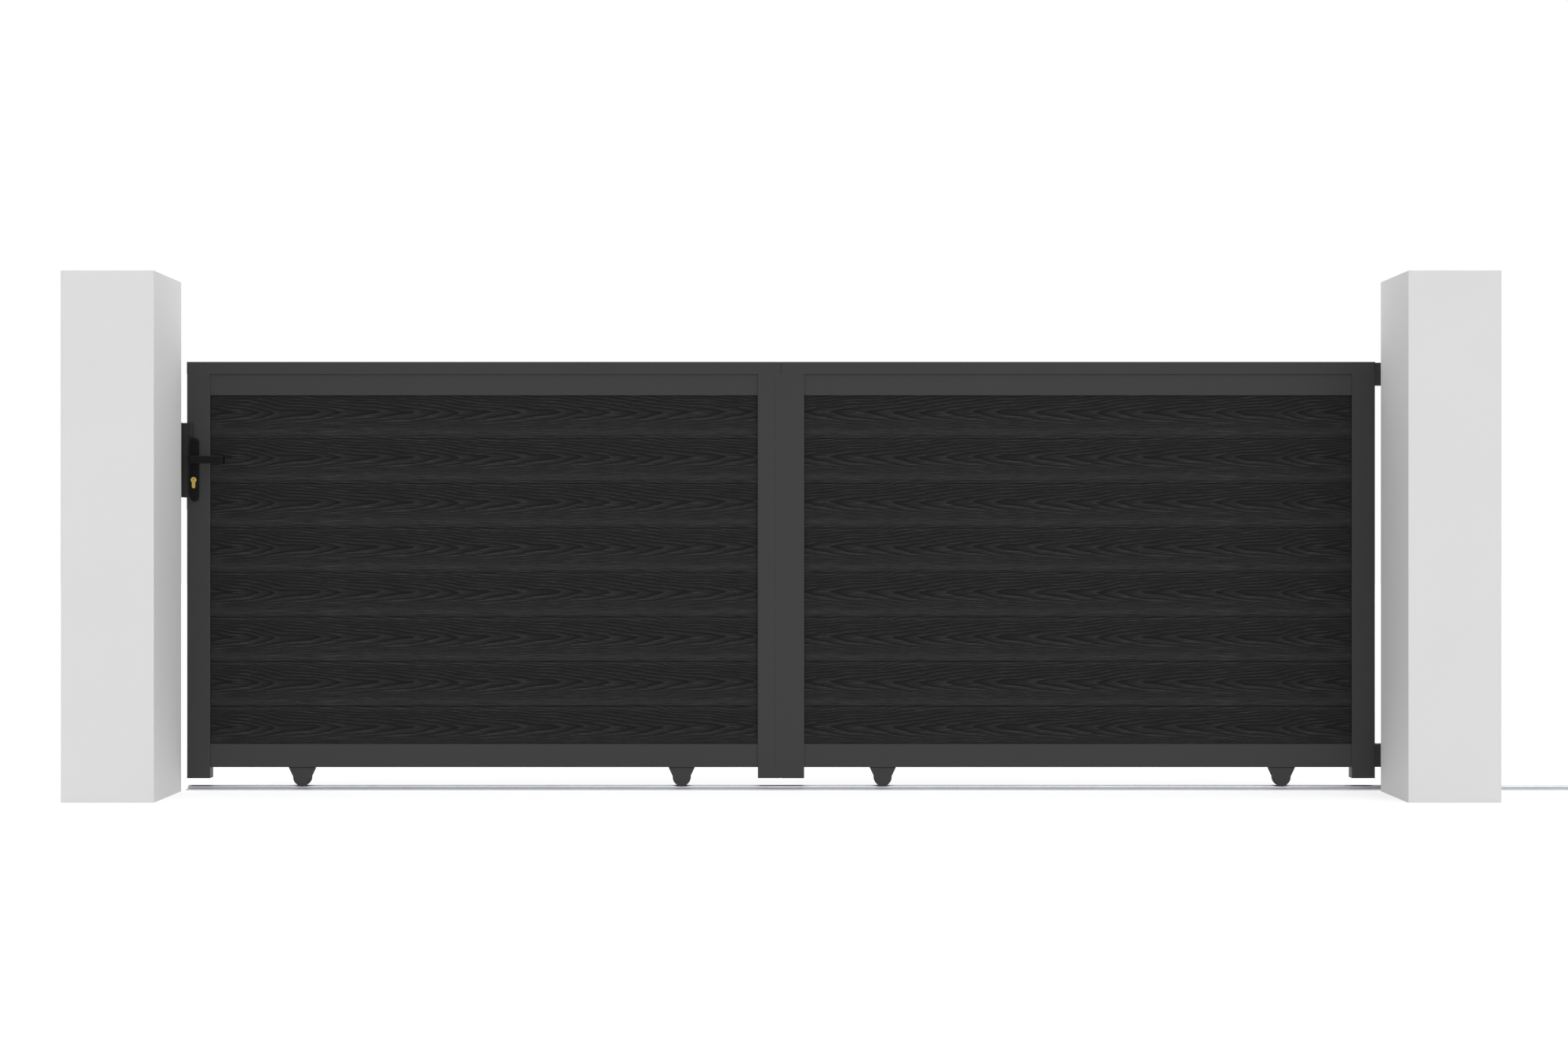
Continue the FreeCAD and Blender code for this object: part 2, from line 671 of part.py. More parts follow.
# boards: hollow tongue-and-groove extrusions, bevelled along the joints
def make_boards(label, x, length):
    body = new_body(label, x, LEAF_MID, BOARDS_FOOT)
    half, bevel, wall = "sizes.board_thick / 2", "sizes.board_bevel", "sizes.board_wall"
    high = f"({BOARD_PITCH} - sizes.board_gap)"
    tongue, rise = "sizes.tongue_thick / 2", "sizes.tongue_height"
    groove = f"({tongue} + sizes.fit_clearance)"
    depth = f"({rise} + sizes.fit_clearance)"
    section = new_sketch(body, "YZ_Plane")
    add_loop(section, [
        (f"-({half} - {bevel})", "0"), (f"-{groove}", "0"), (f"-{groove}", depth),
        (groove, depth), (groove, "0"), (f"({half} - {bevel})", "0"),
        (half, bevel), (half, f"({high} - {bevel})"), (f"({half} - {bevel})", high),
        (tongue, high), (tongue, f"({high} + {rise})"), (f"-{tongue}", f"({high} + {rise})"),
        (f"-{tongue}", high), (f"-({half} - {bevel})", high),
        (f"-{half}", f"({high} - {bevel})"), (f"-{half}", bevel),
    ])
    low = f"({depth} + {wall})"
    middle = f"(({low} + {high} - {wall}) / 2)"
    for foot, top in (
        (low, f"({middle} - {wall} / 2)"),
        (f"({middle} + {wall} / 2)", f"({high} - {wall} - {bevel})"),
    ):
        add_loop(section, rectangle(f"-({half} - {wall})", foot, f"({half} - {wall})", top))
    board = feature(body, "Pad", section, length)
    repeat(body, board, "Z_Axis", BOARD_PITCH, "sizes.board_count")


# moulded plugs that close the hollow ends: a flange with a collar inside the profile
def make_plugs():
    feet = new_body("stile_foot_plugs", "0", LEAF_MID, "sizes.leaf_foot")
    half, wall = "sizes.stile_depth / 2", "sizes.frame_wall"
    gap, thick = "sizes.fit_clearance", "sizes.plug_thick"
    step = "(sizes.lap_thick + sizes.fit_clearance)"
    flange = new_sketch(feet, "XY_Plane")
    collar = new_sketch(feet, "XY_Plane", thick)
    for left, front in (
        (LEAF_LEFT, "0"),
        (f"({LEAF_JOINT} - sizes.stile_width)", step),
        (LEAF_JOINT, "0"),
        (f"({LEAF_RIGHT} - sizes.stile_width)", "0"),
    ):
        stile = (left, f"({front} - {half})", f"({left} + sizes.stile_width)", half)
        add_loop(flange, inset_rectangle(*stile, gap))
        add_loop(collar, inset_rectangle(*stile, f"({wall} + {gap})"))
        add_loop(collar, inset_rectangle(*stile, f"({wall} + {gap} + sizes.plug_wall)"))
    feature(feet, "Pad", flange, thick)
    feature(feet, "Pad", collar, "sizes.plug_collar")

    # covers at the caps' outer ends and a recessed one in the gap between them, each with a collar in its cap
    ends = new_body("cap_end_plugs", "0", LEAF_MID, CAP_FOOT)
    high = "sizes.cap_height"
    left_end, right_end = f"({LEAF_LEFT} + {thick})", f"({LEAF_RIGHT} - {thick})"
    joint_left, joint_right = f"({LEAF_JOINT} - sizes.cap_gap / 2)", f"({LEAF_JOINT} + sizes.cap_gap / 2)"
    for start, end, inset in (
        (LEAF_LEFT, left_end, gap),
        (right_end, LEAF_RIGHT, gap),
        (joint_left, joint_right, "sizes.joint_recess"),
    ):
        cover = new_sketch(ends, "YZ_Plane", start)
        add_loop(cover, inset_rectangle(f"-{half}", "0", half, high, inset))
        feature(ends, "Pad", cover, f"{end} - {start}")
    for at, leftward in ((left_end, False), (right_end, True), (joint_left, True), (joint_right, False)):
        collar = new_sketch(ends, "YZ_Plane", at)
        for extra in ("0", "sizes.plug_wall"):
            add_loop(collar, inset_rectangle(f"-{half}", "0", half, high, f"({wall} + {gap} + {extra})"))
        feature(ends, "Pad", collar, "sizes.plug_collar", back=leftward)


# open tail: two rails and an end stile that stay in the top guide while the gate is shut
def make_tail():
    deep, wall = f"{RAIL_DEPTH} / 2", "sizes.frame_wall"
    end_left = f"({TAIL_RIGHT} - sizes.tail_stile_width)"
    top_foot = "(sizes.leaf_top - sizes.tail_drop - sizes.tail_rail_height)"
    for label, foot, high in (
        ("tail_top_rail", top_foot, "sizes.tail_rail_height"),
        ("tail_bottom_rail", "sizes.bottom_rail_foot", "sizes.bottom_rail_height"),
    ):
        rail = new_body(label, LEAF_RIGHT, LEAF_MID, foot)
        section = new_sketch(rail, "YZ_Plane")
        add_loop(section, rounded(f"-{deep}", "0", deep, high, "sizes.stile_edge"))
        add_loop(section, inset_rectangle(f"-{deep}", "0", deep, high, wall))
        feature(rail, "Pad", section, f"{end_left} - {LEAF_RIGHT}")
    stile = new_body("tail_end_stile", end_left, LEAF_MID, "sizes.bottom_rail_foot")
    section = new_sketch(stile, "XY_Plane")
    outline = ("0", f"-{deep}", "sizes.tail_stile_width", deep)
    add_loop(section, rounded(*outline, "sizes.stile_edge"))
    add_loop(section, inset_rectangle(*outline, wall))
    length = "(sizes.leaf_top - sizes.tail_drop - sizes.bottom_rail_foot - sizes.plug_thick)"
    feature(stile, "Pad", section, length)
    plug = new_body("tail_plug", end_left, LEAF_MID, f"(sizes.bottom_rail_foot + {length})")
    gap = "sizes.fit_clearance"
    cover = new_sketch(plug, "XY_Plane")
    add_loop(cover, inset_rectangle(*outline, gap))
    feature(plug, "Pad", cover, "sizes.plug_thick")
    collar = new_sketch(plug, "XY_Plane")
    for extra in ("0", "sizes.plug_wall"):
        add_loop(collar, inset_rectangle(*outline, f"({wall} + {gap} + {extra})"))
    feature(plug, "Pad", collar, "sizes.plug_collar", back=True)


# wheel carriers: a folded channel with tapered cheeks and a window over the wheel
def make_carrier(number, x):
    body = new_body(f"wheel_carrier_{number}", x, LEAF_MID, "sizes.axle_height")
    rise = "(sizes.bottom_rail_foot - sizes.axle_height)"
    drop = "(sizes.axle_height - sizes.carrier_foot)"
    wide, end = "sizes.carrier_top_width / 2", "sizes.carrier_end_width / 2"
    cheek = new_sketch(body, "XZ_Plane")
    add_loop(cheek, [
        (wide, rise),
        (f"-{wide}", rise),
        (f"-{end}", f"-{drop}"),
        (end, f"-{drop}"),
    ])
    block = feature(body, "Pad", cheek, CARRIER_DEPTH, "Symmetric")
    soften_edges(body, "Fillet", block, "sizes.carrier_plate",
                 lambda edge: edge.BoundBox.YLength < NEAR and edge.BoundBox.ZMin > value(rise) - NEAR)
    hollow = new_sketch(body, "YZ_Plane")
    inside = f"{CARRIER_INSIDE} / 2"
    add_loop(hollow, rectangle(f"-{inside}", f"-(2 * {drop})", inside, f"({rise} - sizes.carrier_plate)"))
    feature(body, "Pocket", hollow, f"4 * {wide}", "Symmetric")
    window = new_sketch(body, "XY_Plane", rise)
    long_ = "sizes.carrier_window / 2"
    add_loop(window, rectangle(f"-{long_}", f"-{inside}", long_, inside))
    feature(body, "Pocket", window, "2 * sizes.carrier_plate", "Symmetric")
    bore = new_sketch(body, "XZ_Plane")
    add_circle(bore, "0", "0", "sizes.axle_radius + sizes.axle_clearance")
    feature(body, "Pocket", bore, f"2 * {CARRIER_DEPTH}", "Symmetric")


def make_axles():
    # plain pins flush with the front cheeks, each with a nut behind
    body = new_body("wheel_axles", "0", LEAF_MID, "sizes.axle_height")
    shanks = new_sketch(body, "XZ_Plane")
    for place in WHEEL_PLACES:
        add_circle(shanks, place, "0", "sizes.axle_radius")
    feature(body, "Pad", shanks, CARRIER_DEPTH, "Symmetric")
    nuts = new_sketch(body, "XZ_Plane", f"-{CARRIER_DEPTH} / 2")
    for place in WHEEL_PLACES:
        add_loop(nuts, hexagon(place, "0", "sizes.axle_nut_flats"))
    feature(body, "Pad", nuts, "sizes.axle_nut_height", back=True)


# wheels: turned discs whose groove, a flat tread between 45 degree flanks, sits over the rail's bead
def make_wheel(number, x):
    body = new_body(f"wheel_{number}", x, LEAF_MID, "sizes.axle_height")
    half, outer = "sizes.wheel_width / 2", "sizes.wheel_radius"
    bore = "(sizes.axle_radius + sizes.axle_clearance)"
    tread = f"({GROOVE_RADIUS} * (sqrt(2) - 1))"
    mouth = f"({tread} + {outer} - {TREAD_RADIUS})"
    section = new_sketch(body, "YZ_Plane")
    add_loop(section, [
        (f"-{half}", bore),
        (half, bore),
        (half, outer),
        (mouth, outer),
        (tread, TREAD_RADIUS),
        (f"-{tread}", TREAD_RADIUS),
        (f"-{mouth}", outer),
        (f"-{half}", outer),
    ])
    turn(body, section)


# lever set: backplates, profile cylinder, faceplate and two levers on one square spindle
def make_backplate(label, y, outward):
    foot = "(sizes.handle_height + sizes.plate_over_handle - sizes.backplate_height)"
    body = new_body(label, LOCK_X, y, foot)
    round_ = "sizes.backplate_width / 2"
    high = "sizes.backplate_height"
    outline = new_sketch(body, "XZ_Plane")
    add_loop(outline, [
        (round_, f"({high} - {round_})"),
        (f"-{round_}", f"({high} - {round_})", "0", f"({high} - {round_})", "counter"),
        (f"-{round_}", round_),
        (round_, round_, "0", round_, "counter"),
    ])
    plate = feature(body, "Pad", outline, "sizes.backplate_thick", back=not outward)
    face = value("sizes.backplate_thick") * (-1 if outward else 1)
    soften_edges(body, "Chamfer", plate, "sizes.backplate_edge",
                 lambda edge: max(abs(corner.Y - face) for corner in edge.Vertexes) < NEAR)
    holes = new_sketch(body, "XZ_Plane")
    add_circle(holes, "0", f"(sizes.handle_height - {foot})", "sizes.neck_radius + sizes.neck_clearance")
    add_loop(holes, cylinder_outline("0", f"({CYLINDER_Z} - {foot})", "sizes.cylinder_clearance"))
    feature(body, "Pocket", holes, "4 * sizes.backplate_thick", "Symmetric")


def make_lever(label, y, outward):
    # neck through the backplate, flat arm along +X with softened edges, tip returned towards the leaf
    body = new_body(label, LOCK_X, y, "sizes.handle_height")
    sign = "-" if outward else ""
    bend_way = "clockwise" if outward else "counter"
    gap, reach, thick, bend = "sizes.lever_gap", "sizes.lever_reach", "sizes.lever_thick", "sizes.lever_bend"
    heel, tip = "sizes.lever_heel", "sizes.lever_length"
    outer = f"({reach} + {thick})"
    plan = new_sketch(body, "XY_Plane")

    def at(distance):
        return f"{sign}({distance})"

    add_loop(plan, [
        (heel, at(gap)),
        (heel, at(reach)),
        (f"({tip} - {thick})", at(reach)),
        (f"({tip} - {thick})", at(f"{reach} - sizes.lever_return")),
        (tip, at(f"{reach} - sizes.lever_return")),
        (tip, at(f"{outer} - {bend}")),
        (f"({tip} - {bend})", at(outer), f"({tip} - {bend})", at(f"{outer} - {bend}"), bend_way),
        (f"({bend} - {heel})", at(outer)),
        (f"-{heel}", at(f"{outer} - {bend}"), f"({bend} - {heel})", at(f"{outer} - {bend}"), bend_way),
        (f"-{heel}", at(gap)),
    ])
    arm = feature(body, "Pad", plan, "sizes.lever_height", "Symmetric")
    soften_edges(body, "Chamfer", arm, "sizes.lever_edge",
                 lambda edge: edge.BoundBox.ZLength < NEAR)
    neck = new_sketch(body, "XZ_Plane", gap if outward else f"-{gap}")
    add_circle(neck, "0", "0", "sizes.neck_radius")
    feature(body, "Pad", neck, f"sizes.backplate_thick + {gap}", back=outward)
    socket = new_sketch(body, "XZ_Plane")
    square = "(sizes.spindle_size / 2 + sizes.fit_clearance)"
    add_loop(socket, rectangle(f"-{square}", f"-{square}", square, square))
    feature(body, "Pocket", socket, "2 * (sizes.backplate_thick + sizes.spindle_depth)", "Symmetric")


def make_lock():
    front = LEAF_FRONT
    back = f"({LEAF_FRONT} + sizes.stile_depth)"
    make_backplate("outer_backplate", front, True)
    make_backplate("inner_backplate", back, False)
    make_lever("outer_lever", f"({front} - sizes.backplate_thick)", True)
    make_lever("inner_lever", f"({back} + sizes.backplate_thick)", False)
    spindle = new_body("spindle", LOCK_X, LEAF_MID, "sizes.handle_height")
    square = "sizes.spindle_size / 2"
    bar = new_sketch(spindle, "XZ_Plane")
    add_loop(bar, rectangle(f"-{square}", f"-{square}", square, square))
    span = "(sizes.stile_depth + 2 * (sizes.backplate_thick + sizes.spindle_depth - sizes.fit_clearance))"
    feature(spindle, "Pad", bar, span, "Symmetric")
    cylinder = new_body("lock_cylinder", LOCK_X, LEAF_MID, CYLINDER_Z)
    section = new_sketch(cylinder, "XZ_Plane")
    add_loop(section, cylinder_outline("0", "0", "0"))
    feature(cylinder, "Pad", section,
            "sizes.stile_depth + 2 * sizes.backplate_thick + 2 * sizes.cylinder_proud", "Symmetric")
    middle = f"((sizes.handle_height + {CYLINDER_Z}) / 2)"
    plate = new_body("lock_faceplate", LEAF_LEFT, LEAF_MID, middle)
    face = new_sketch(plate, "YZ_Plane")
    wide, high = "sizes.faceplate_width / 2", "sizes.faceplate_height / 2"
    add_loop(face, rectangle(f"-{wide}", f"-{high}", wide, high))
    wide, high = "sizes.faceplate_slot_width / 2", "sizes.faceplate_slot_height / 2"
    add_loop(face, rectangle(f"-{wide}", f"-{high}", wide, high))
    feature(plate, "Pad", face, "sizes.faceplate_thick", back=True)


make_pillar("left_pillar", "0")
make_pillar("right_pillar", RIGHT_PILLAR)
make_rail("ground_rail", LEAF_LEFT, f"{RIGHT_PILLAR} - {LEAF_LEFT}",
          "sizes.rail_hole_start", "sizes.rail_hole_pitch")
make_rail("run_back_rail", RIGHT_PILLAR, "sizes.run_back_length",
          "sizes.rail_hole_start / 2", "sizes.run_back_hole_pitch")
make_end_stop()
make_keeper()
make_guide()
lock_stile = make_stile("lock_stile", LEAF_LEFT, "right")
cut_lock_holes(lock_stile)
make_stile("left_meeting_stile", f"({LEAF_JOINT} - sizes.stile_width)", "left", "rebate")
make_stile("right_meeting_stile", LEAF_JOINT, "right", "lip")
make_stile("tail_side_stile", f"({LEAF_RIGHT} - sizes.stile_width)", "left")
make_panel(
    "left",
    {"cap": f"({LEAF_LEFT} + sizes.plug_thick)", "frame": f"({LEAF_LEFT} + sizes.stile_width)"},
    {"cap": f"({LEAF_JOINT} - sizes.cap_gap / 2)", "frame": f"({LEAF_JOINT} - sizes.stile_width)"},
    WHEEL_PLACES[:2],
)
make_panel(
    "right",
    {"cap": f"({LEAF_JOINT} + sizes.cap_gap / 2)", "frame": f"({LEAF_JOINT} + sizes.stile_width)"},
    {"cap": f"({LEAF_RIGHT} - sizes.plug_thick)", "frame": f"({LEAF_RIGHT} - sizes.stile_width)"},
    WHEEL_PLACES[2:],
)
make_plugs()
make_tail()
for number, place in enumerate(WHEEL_PLACES, start=1):
    make_carrier(number, place)
    make_wheel(number, place)
make_axles()
make_lock()
doc.recompute()

# every feature built, every cut removed something, every piece a valid solid
for item in doc.Objects:
    if "Invalid" in item.State or "Error" in item.State:
        raise RuntimeError(f"{item.Label} did not build: {item.State}")
    if item.TypeId == "PartDesign::Pocket" and item.Shape.Volume >= item.BaseFeature.Shape.Volume:
        raise RuntimeError(f"{item.Label} cuts nothing")
for body in nodes:
    if body.Shape.isNull() or not body.Shape.isValid() or not body.Shape.Solids:
        raise RuntimeError(f"{body.Label} is not a valid solid")

os.makedirs("parts", exist_ok=True)
for body in nodes:
    body.Shape.exportStep(f"parts/{body.Label}.step")
    print(body.Label, len(body.Shape.Solids), round(body.Shape.Volume / 1000, 1), "cm3")
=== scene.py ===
import bmesh
import bpy
import json
import math
from mathutils import Matrix, Vector


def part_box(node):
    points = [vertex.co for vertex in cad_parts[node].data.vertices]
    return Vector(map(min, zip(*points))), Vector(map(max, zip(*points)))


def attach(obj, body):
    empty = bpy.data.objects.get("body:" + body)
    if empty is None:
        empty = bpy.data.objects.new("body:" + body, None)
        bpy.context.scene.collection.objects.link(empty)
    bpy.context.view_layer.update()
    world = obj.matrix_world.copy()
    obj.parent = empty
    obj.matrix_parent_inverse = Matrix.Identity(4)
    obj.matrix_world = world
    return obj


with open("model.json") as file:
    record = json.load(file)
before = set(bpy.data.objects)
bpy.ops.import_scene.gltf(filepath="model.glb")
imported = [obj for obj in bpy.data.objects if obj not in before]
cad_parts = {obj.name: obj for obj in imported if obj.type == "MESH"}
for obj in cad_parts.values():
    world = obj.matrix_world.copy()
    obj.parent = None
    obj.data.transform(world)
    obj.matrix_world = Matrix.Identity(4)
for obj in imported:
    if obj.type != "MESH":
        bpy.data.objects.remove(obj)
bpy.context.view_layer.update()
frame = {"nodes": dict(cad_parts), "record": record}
nodes = frame["nodes"]
nodeSlots = {part["node"]: part["material_slot"] for part in frame["record"]["subparts"]}
print("frame loaded:", len(nodes), "CAD nodes")


def hexColor(code):
    # sRGB hex to the linear colour that the sockets take
    parts = [int(code[i:i + 2], 16) / 255 for i in (1, 3, 5)]
    linear = [p / 12.92 if p <= 0.04045 else ((p + 0.055) / 1.055) ** 2.4 for p in parts]
    return (*linear, 1.0)


def addNode(tree, kind, sockets=None, **settings):
    node = tree.nodes.new("ShaderNode" + kind)
    for name, setting in settings.items():
        setattr(node, name, setting)
    for key, given in (sockets or {}).items():
        if isinstance(given, bpy.types.NodeSocket):
            tree.links.new(given, node.inputs[key])
        else:
            node.inputs[key].default_value = given
    return node


def newMaterial(name, look):
    # a Principled surface with its even settings, and the Object coordinates its patterns read
    material = bpy.data.materials.new(name)
    material.use_nodes = True
    tree = material.node_tree
    surface = tree.nodes["Principled BSDF"]
    for socket, setting in look["surface"].items():
        surface.inputs[socket].default_value = setting
    place = addNode(tree, "TexCoord").outputs["Object"]
    return material, tree, surface, place


def dressSurface(tree, surface, look, tone=None, gloss=None, height=None):
    # lets a look's two colours, its roughness and its relief follow the patterns given
    if tone is not None:
        first, second = (hexColor(code) for code in look["colors"])
        tint = addNode(tree, "Mix", {0: tone, 6: first, 7: second}, data_type="RGBA")    # 6, 7: its colours
        tree.links.new(tint.outputs[2], surface.inputs["Base Color"])
    if gloss is not None:
        least, most = look["roughness"]
        spread = addNode(tree, "MapRange", {"Value": gloss, "To Min": least, "To Max": most})
        tree.links.new(spread.outputs["Result"], surface.inputs["Roughness"])
    if height is not None:
        bump = addNode(tree, "Bump", {"Strength": look["relief"], "Distance": look["rise"],
                                      "Height": height})
        tree.links.new(bump.outputs["Normal"], surface.inputs["Normal"])


def setStops(ramp, stops):
    # the stops of a Color Ramp: where, and how light or which colour
    elements = ramp.color_ramp.elements
    while len(elements) < len(stops):
        elements.new(1.0)
    for element, (where, tone) in zip(elements, stops):
        element.position = where
        element.color = tone if isinstance(tone, tuple) else (tone, tone, tone, 1.0)


millimetre = 0.001
finishes = {}          # record slot -> material

# Mineral render, floated smooth and painted: chalk-matt and pale,
# with faint clouds from the float and a fine even grit.
renderCoat = {
    "surface": {"Roughness": 0.92, "Specular IOR Level": 0.25},
    "colors": ("#d0d0d0", "#d5d5d5"), "cloud": 420 * millimetre,
    "grit": 5 * millimetre, "relief": 0.35, "rise": 0.5 * millimetre,          # 1 mm sand, drawn coarser
}
material, tree, surface, place = newMaterial("mineralRender", renderCoat)
clouds = addNode(tree, "TexNoise", {"Vector": place, "Scale": 1 / renderCoat["cloud"],
                                    "Detail": 3.0, "Roughness": 0.6}).outputs["Fac"]
grit = addNode(tree, "TexNoise", {"Vector": place, "Scale": 1 / renderCoat["grit"],
                                  "Detail": 4.0, "Roughness": 0.7}).outputs["Fac"]
dressSurface(tree, surface, renderCoat, tone=clouds, height=grit)
finishes["rendered_masonry"] = material

# Fine-structured polyester powder coat on aluminium: matt graphite grey with tiny even bumps.
greyCoat = {
    "surface": {"Specular IOR Level": 0.3},
    "colors": ("#313131", "#363636"), "roughness": (0.4, 0.5), "drift": 260 * millimetre,
    "bumps": 3 * millimetre, "relief": 0.25, "rise": 0.15 * millimetre,        # 0.3 mm bumps, drawn coarser
}
material, tree, surface, place = newMaterial("structuredPowderCoat", greyCoat)
drift = addNode(tree, "TexNoise", {"Vector": place, "Scale": 1 / greyCoat["drift"],
                                   "Detail": 2.0}).outputs["Fac"]
bumps = addNode(tree, "TexNoise", {"Vector": place, "Scale": 1 / greyCoat["bumps"],
                                   "Detail": 2.0, "Roughness": 0.6}).outputs["Fac"]
blend = addNode(tree, "Math", {0: drift, 1: bumps}, operation="MULTIPLY", use_clamp=True).outputs[0]
dressSurface(tree, surface, greyCoat, tone=blend, gloss=bumps, height=bumps)
finishes["grey_powder_coat"] = material
finishes["grey_carrier"] = material

# Aluminium boards with an embossed and printed oak grain under a dark matt lacquer:
# nested arrowheads along each board, pointing at the joint of the two halves, with dark wedges between
# their paler edges, and long level fibres. Every board has the same figure, as a roller prints it.
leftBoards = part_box("left_boards")
boardGrain = {
    "surface": {"Specular IOR Level": 0.15},
    "dark": "#040404", "mid": "#171717", "light": "#434343", "roughness": (0.66, 0.48),
    "relief": 0.3, "rise": 0.5 * millimetre,
    "joint": (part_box("left_meeting_stile")[1].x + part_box("right_meeting_stile")[0].x) / 2, "count": 8,
    "centre": 0.54,                                    # the arrowheads' line, as a share of the height
    "tipSpacing": 86, "lineSpacing": 14, "tipRound": 3.0,                # mm, along and across the board
    "squeeze": 0.0003, "skew": 0.25,                   # closer lines further out, closer above than below
    "level": 16, "levelling": 0.0022,                  # mm below the tips where lines turn level, how soon
    "wander": 5, "wanderLength": 260, "wanderHeight": 70, "beat": 190,   # mm
    "ragLength": 16, "ragHeight": 4,                   # mm
    "fibreLength": 90, "fibreHeight": 1.8,             # mm, drawn coarser than the real 1 mm
    "wanderSwing": 1.2, "beatSwing": 1.5, "ragSwing": 0.3,               # in lines
    "figureLevel": 0.45, "figureShare": 0.55, "fibreShare": 1.4,
    # tones from one line to the next, tones up the board, and how strongly the arrowheads show there
    "lineTones": [(0.0, 0.5), (0.06, 0.8), (0.2, 0.68), (0.56, 0.58), (0.7, 0.25), (0.82, 0.05),
                  (0.94, 0.0), (1.0, 0.5)],
    "heightTones": [(0.0, 0.5), (0.05, 0.6), (0.12, 0.6), (0.2, 0.52), (0.42, 0.5), (0.5, 0.42),
                    (0.86, 0.42), (0.95, 0.54), (1.0, 0.54)],
    "figureDepth": [(0.0, 0.12), (0.14, 0.2), (0.28, 0.55), (0.4, 0.9), (0.7, 1.0), (0.88, 0.8),
                    (1.0, 0.5)],
}
boardFoot = leftBoards[0].z
boardPitch = (leftBoards[1].z - leftBoards[0].z) / boardGrain["count"]
boardHeight = boardPitch / millimetre
material, tree, surface, place = newMaterial("woodGrainLacquer", boardGrain)
# mm from the joint, and mm above the arrowheads' line
axes = addNode(tree, "SeparateXYZ", {0: place}).outputs
off = addNode(tree, "Math", {0: axes["X"], 1: boardGrain["joint"]}, operation="SUBTRACT").outputs[0]
off = addNode(tree, "Math", {0: off}, operation="ABSOLUTE").outputs[0]
along = addNode(tree, "Math", {0: off, 1: 1 / millimetre}, operation="MULTIPLY").outputs[0]
rows = addNode(tree, "Math", {0: axes["Z"], 1: 1 / boardPitch, 2: -boardFoot / boardPitch},
               operation="MULTIPLY_ADD").outputs[0]
rise = addNode(tree, "Math", {0: rows}, operation="FRACT").outputs[0]
across = addNode(tree, "Math", {0: rise, 1: boardHeight, 2: -boardGrain["centre"] * boardHeight},
                 operation="MULTIPLY_ADD").outputs[0]
flat = addNode(tree, "CombineXYZ", {0: along, 1: across}).outputs[0]
# slow wander of the grain
cells = (1 / boardGrain["wanderLength"], 1 / boardGrain["wanderHeight"], 0)
stretch = addNode(tree, "VectorMath", {0: flat, 1: cells}, operation="MULTIPLY").outputs[0]
drift = addNode(tree, "TexNoise", {"Vector": stretch, "Scale": 1.0,
                                   "Detail": 2.0, "Roughness": 0.5}).outputs["Fac"]
moved = addNode(tree, "MapRange", {"Value": drift, "From Min": 0.25, "From Max": 0.75,
                                   "To Min": -boardGrain["wander"], "To Max": boardGrain["wander"]},
                clamp=False).outputs["Result"]
bent = addNode(tree, "Math", {0: across, 1: moved}, operation="ADD").outputs[0]
# distance from the arrowheads' line, rounded at the tips
square = addNode(tree, "Math", {0: bent, 1: bent, 2: boardGrain["tipRound"] ** 2},
                 operation="MULTIPLY_ADD").outputs[0]
reach = addNode(tree, "Math", {0: square}, operation="SQRT").outputs[0]
# uneven spacing along the board, lines that run level below the arrowheads, and ragged edges
paced = addNode(tree, "Math", {0: along, 1: 1 / boardGrain["beat"]}, operation="MULTIPLY").outputs[0]
beat = addNode(tree, "TexNoise", {"W": paced, "Scale": 1.0, "Detail": 1.0},
               noise_dimensions="1D").outputs["Fac"]
below = addNode(tree, "Math", {0: bent, 1: -1.0, 2: -boardGrain["level"]},
                operation="MULTIPLY_ADD").outputs[0]
below = addNode(tree, "Math", {0: below, 1: 0.0}, operation="MAXIMUM").outputs[0]
below = addNode(tree, "Math", {0: below, 1: below}, operation="MULTIPLY").outputs[0]
cells = (1 / boardGrain["ragLength"], 1 / boardGrain["ragHeight"], 0)
stretch = addNode(tree, "VectorMath", {0: flat, 1: cells}, operation="MULTIPLY").outputs[0]
rag = addNode(tree, "TexNoise", {"Vector": stretch, "Scale": 1.0, "Detail": 2.0}).outputs["Fac"]
# all of it added up, counted in lines
rings = addNode(tree, "Math", {0: reach, 1: 1 / boardGrain["lineSpacing"]}, operation="MULTIPLY").outputs[0]
for term, share in ((square, boardGrain["squeeze"]), (bent, boardGrain["skew"] / boardGrain["lineSpacing"]),
                    (along, -1 / boardGrain["tipSpacing"]), (drift, boardGrain["wanderSwing"]),
                    (beat, boardGrain["beatSwing"]), (below, boardGrain["levelling"]),
                    (rag, boardGrain["ragSwing"])):
    rings = addNode(tree, "Math", {0: term, 1: share, 2: rings}, operation="MULTIPLY_ADD").outputs[0]
tooth = addNode(tree, "Math", {0: rings}, operation="FRACT").outputs[0]
lines = addNode(tree, "ValToRGB", {0: tooth})
setStops(lines, boardGrain["lineTones"])
# fibres
bowed = addNode(tree, "CombineXYZ", {0: along, 1: bent}).outputs[0]
cells = (1 / boardGrain["fibreLength"], 1 / boardGrain["fibreHeight"], 0)
stretch = addNode(tree, "VectorMath", {0: bowed, 1: cells}, operation="MULTIPLY").outputs[0]
fibres = addNode(tree, "TexNoise", {"Vector": stretch, "Scale": 1.0,
                                    "Detail": 5.0, "Roughness": 0.75}).outputs["Fac"]
